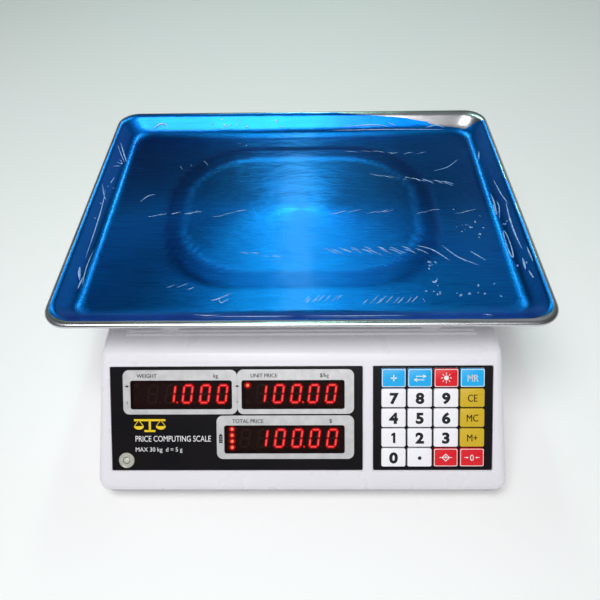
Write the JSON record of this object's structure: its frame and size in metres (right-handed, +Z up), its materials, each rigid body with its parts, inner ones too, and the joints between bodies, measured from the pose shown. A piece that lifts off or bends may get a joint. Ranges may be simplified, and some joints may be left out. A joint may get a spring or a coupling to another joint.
{
  "type": "price computing counter scale",
  "caption": "Counter-top weighing scale with sloped display and keypad panel, rear display and a lift-off rectangular steel pan.",
  "frame": {"origin": "on the table under the middle of the scale's overall box, at the height of the feet's undersides", "axes": "+Z up, -Y towards the operator (the keypad side), +X to the operator's right"},
  "size_m": [0.358, 0.3395, 0.122],
  "materials": {
    "housing_white": "fine semi-gloss moulded white",
    "base_grey": "fine matt moulded grey",
    "label_black": "glossy black printed sheet",
    "filter_red": "clear dark red filter",
    "led_black": "black moulded digit module",
    "board_green": "green solder mask",
    "key_white": "satin white keycap",
    "key_blue": "satin blue keycap",
    "key_red": "satin red keycap",
    "key_yellow": "satin yellow keycap",
    "rubber_black": "matt moulded rubber",
    "cell_aluminium": "milled or cast, clear anodised",
    "steel_zinc": "zinc plated",
    "steel_stainless": "brushed stainless sheet",
    "film_blue": "thin clear blue protective film, wrinkled",
    "battery_grey": "moulded battery case",
    "fitting_black": "black moulded nylon",
    "level_clear": "clear acrylic vial with pale liquid"
  },
  "bodies": {
    "base": {"battery": "battery_grey", "battery_cover": "base_grey", "battery_cover_screw": "steel_zinc", "bottom_housing": "base_grey", "front_board": "board_green", "front_display_label": "label_black", "front_filter": "filter_red", "key_mat": "rubber_black", "keypad_frame": "label_black", "led_total_price": "led_black", "led_unit_price": "led_black", "led_weight": "led_black", "level_vial": "level_clear", "load_cell": "cell_aluminium", "load_cell_bracket": "steel_zinc", "main_board": "board_green", "power_inlet": "fitting_black", "power_supply": "board_green", "rear_board": "board_green", "rear_display_label": "label_black", "rear_filter": "filter_red", "rear_led_bar": "led_black", "switch_bezel": "fitting_black", "top_housing": "housing_white"},
    "platform": {"spider": "cell_aluminium", "buffer_front_left": "rubber_black", "buffer_front_right": "rubber_black", "buffer_rear_left": "rubber_black", "buffer_rear_right": "rubber_black"},
    "pan": {"weighing_pan": "steel_stainless", "protective_film": "film_blue"},
    "rocker": {"power_rocker": "fitting_black"},
    "key_plus_body": {"key_plus": "key_blue"},
    "key_change_body": {"key_change": "key_blue"},
    "key_backlight_body": {"key_backlight": "key_red"},
    "key_memory_recall_body": {"key_memory_recall": "key_blue"},
    "key_7_body": {"key_7": "key_white"},
    "key_8_body": {"key_8": "key_white"},
    "key_9_body": {"key_9": "key_white"},
    "key_clear_body": {"key_clear": "key_yellow"},
    "key_4_body": {"key_4": "key_white"},
    "key_5_body": {"key_5": "key_white"},
    "key_6_body": {"key_6": "key_white"},
    "key_memory_clear_body": {"key_memory_clear": "key_yellow"},
    "key_1_body": {"key_1": "key_white"},
    "key_2_body": {"key_2": "key_white"},
    "key_3_body": {"key_3": "key_white"},
    "key_memory_add_body": {"key_memory_add": "key_yellow"},
    "key_0_body": {"key_0": "key_white"},
    "key_point_body": {"key_point": "key_white"},
    "key_tare_body": {"key_tare": "key_red"},
    "key_zero_set_body": {"key_zero_set": "key_red"},
    "foot_front_left_stud": {"foot_stud_front_left": "steel_zinc"},
    "foot_front_left_pad": {"foot_pad_front_left": "rubber_black"},
    "foot_front_right_stud": {"foot_stud_front_right": "steel_zinc"},
    "foot_front_right_pad": {"foot_pad_front_right": "rubber_black"},
    "foot_rear_left_stud": {"foot_stud_rear_left": "steel_zinc"},
    "foot_rear_left_pad": {"foot_pad_rear_left": "rubber_black"},
    "foot_rear_right_stud": {"foot_stud_rear_right": "steel_zinc"},
    "foot_rear_right_pad": {"foot_pad_rear_right": "rubber_black"}
  },
  "joints": [
    {"name": "platform_deflection", "type": "slide", "parent": "base", "child": "platform", "axis": [0, 0, -1], "range_m": [0, 0.0005], "stiffness_N_per_m": 600000, "deforming": ["load_cell"]},
    {"name": "pan_lift", "type": "slide", "parent": "platform", "child": "pan", "axis": [0, 0, 1], "range_m": [0, 0.06]},
    {"name": "rocker_turn", "type": "hinge", "parent": "base", "child": "rocker", "pos_m": [0.14729, 0.052, 0.04494], "axis": [0, 1, 0], "range_deg": [-20, 0]},
    {"name": "key_plus_press", "type": "slide", "parent": "base", "child": "key_plus_body", "axis": [0, 0.6896, -0.7242], "range_m": [0, 0.001], "stiffness_N_per_m": 400, "springref_m": -0.001},
    {"name": "key_change_press", "type": "slide", "parent": "base", "child": "key_change_body", "axis": [0, 0.6896, -0.7242], "range_m": [0, 0.001], "stiffness_N_per_m": 400, "springref_m": -0.001},
    {"name": "key_backlight_press", "type": "slide", "parent": "base", "child": "key_backlight_body", "axis": [0, 0.6896, -0.7242], "range_m": [0, 0.001], "stiffness_N_per_m": 400, "springref_m": -0.001},
    {"name": "key_memory_recall_press", "type": "slide", "parent": "base", "child": "key_memory_recall_body", "axis": [0, 0.6896, -0.7242], "range_m": [0, 0.001], "stiffness_N_per_m": 400, "springref_m": -0.001},
    {"name": "key_7_press", "type": "slide", "parent": "base", "child": "key_7_body", "axis": [0, 0.6896, -0.7242], "range_m": [0, 0.001], "stiffness_N_per_m": 400, "springref_m": -0.001},
    {"name": "key_8_press", "type": "slide", "parent": "base", "child": "key_8_body", "axis": [0, 0.6896, -0.7242], "range_m": [0, 0.001], "stiffness_N_per_m": 400, "springref_m": -0.001},
    {"name": "key_9_press", "type": "slide", "parent": "base", "child": "key_9_body", "axis": [0, 0.6896, -0.7242], "range_m": [0, 0.001], "stiffness_N_per_m": 400, "springref_m": -0.001},
    {"name": "key_clear_press", "type": "slide", "parent": "base", "child": "key_clear_body", "axis": [0, 0.6896, -0.7242], "range_m": [0, 0.001], "stiffness_N_per_m": 400, "springref_m": -0.001},
    {"name": "key_4_press", "type": "slide", "parent": "base", "child": "key_4_body", "axis": [0, 0.6896, -0.7242], "range_m": [0, 0.001], "stiffness_N_per_m": 400, "springref_m": -0.001},
    {"name": "key_5_press", "type": "slide", "parent": "base", "child": "key_5_body", "axis": [0, 0.6896, -0.7242], "range_m": [0, 0.001], "stiffness_N_per_m": 400, "springref_m": -0.001},
    {"name": "key_6_press", "type": "slide", "parent": "base", "child": "key_6_body", "axis": [0, 0.6896, -0.7242], "range_m": [0, 0.001], "stiffness_N_per_m": 400, "springref_m": -0.001},
    {"name": "key_memory_clear_press", "type": "slide", "parent": "base", "child": "key_memory_clear_body", "axis": [0, 0.6896, -0.7242], "range_m": [0, 0.001], "stiffness_N_per_m": 400, "springref_m": -0.001},
    {"name": "key_1_press", "type": "slide", "parent": "base", "child": "key_1_body", "axis": [0, 0.6896, -0.7242], "range_m": [0, 0.001], "stiffness_N_per_m": 400, "springref_m": -0.001},
    {"name": "key_2_press", "type": "slide", "parent": "base", "child": "key_2_body", "axis": [0, 0.6896, -0.7242], "range_m": [0, 0.001], "stiffness_N_per_m": 400, "springref_m": -0.001},
    {"name": "key_3_press", "type": "slide", "parent": "base", "child": "key_3_body", "axis": [0, 0.6896, -0.7242], "range_m": [0, 0.001], "stiffness_N_per_m": 400, "springref_m": -0.001},
    {"name": "key_memory_add_press", "type": "slide", "parent": "base", "child": "key_memory_add_body", "axis": [0, 0.6896, -0.7242], "range_m": [0, 0.001], "stiffness_N_per_m": 400, "springref_m": -0.001},
    {"name": "key_0_press", "type": "slide", "parent": "base", "child": "key_0_body", "axis": [0, 0.6896, -0.7242], "range_m": [0, 0.001], "stiffness_N_per_m": 400, "springref_m": -0.001},
    {"name": "key_point_press", "type": "slide", "parent": "base", "child": "key_point_body", "axis": [0, 0.6896, -0.7242], "range_m": [0, 0.001], "stiffness_N_per_m": 400, "springref_m": -0.001},
    {"name": "key_tare_press", "type": "slide", "parent": "base", "child": "key_tare_body", "axis": [0, 0.6896, -0.7242], "range_m": [0, 0.001], "stiffness_N_per_m": 400, "springref_m": -0.001},
    {"name": "key_zero_set_press", "type": "slide", "parent": "base", "child": "key_zero_set_body", "axis": [0, 0.6896, -0.7242], "range_m": [0, 0.001], "stiffness_N_per_m": 400, "springref_m": -0.001},
    {"name": "foot_front_left_advance", "type": "slide", "parent": "base", "child": "foot_front_left_stud", "axis": [0, 0, -1], "range_m": [-0.0015, 0.006]},
    {"name": "foot_front_left_turn", "type": "hinge", "parent": "foot_front_left_stud", "child": "foot_front_left_pad", "pos_m": [-0.128, -0.138, 0.004], "axis": [0, 0, -1], "range_deg": [-434, 1730]},
    {"name": "foot_front_right_advance", "type": "slide", "parent": "base", "child": "foot_front_right_stud", "axis": [0, 0, -1], "range_m": [-0.0015, 0.006]},
    {"name": "foot_front_right_turn", "type": "hinge", "parent": "foot_front_right_stud", "child": "foot_front_right_pad", "pos_m": [0.128, -0.138, 0.004], "axis": [0, 0, -1], "range_deg": [-434, 1730]},
    {"name": "foot_rear_left_advance", "type": "slide", "parent": "base", "child": "foot_rear_left_stud", "axis": [0, 0, -1], "range_m": [-0.0015, 0.006]},
    {"name": "foot_rear_left_turn", "type": "hinge", "parent": "foot_rear_left_stud", "child": "foot_rear_left_pad", "pos_m": [-0.128, 0.138, 0.004], "axis": [0, 0, -1], "range_deg": [-434, 1730]},
    {"name": "foot_rear_right_advance", "type": "slide", "parent": "base", "child": "foot_rear_right_stud", "axis": [0, 0, -1], "range_m": [-0.0015, 0.006]},
    {"name": "foot_rear_right_turn", "type": "hinge", "parent": "foot_rear_right_stud", "child": "foot_rear_right_pad", "pos_m": [0.128, 0.138, 0.004], "axis": [0, 0, -1], "range_deg": [-434, 1730]}
  ],
  "couplings": [
    {"joint": "foot_front_left_turn", "follows": "foot_front_left_advance", "rad_per_m": 5026.5},
    {"joint": "foot_front_right_turn", "follows": "foot_front_right_advance", "rad_per_m": 5026.5},
    {"joint": "foot_rear_left_turn", "follows": "foot_rear_left_advance", "rad_per_m": 5026.5},
    {"joint": "foot_rear_right_turn", "follows": "foot_rear_right_advance", "rad_per_m": 5026.5}
  ]
}
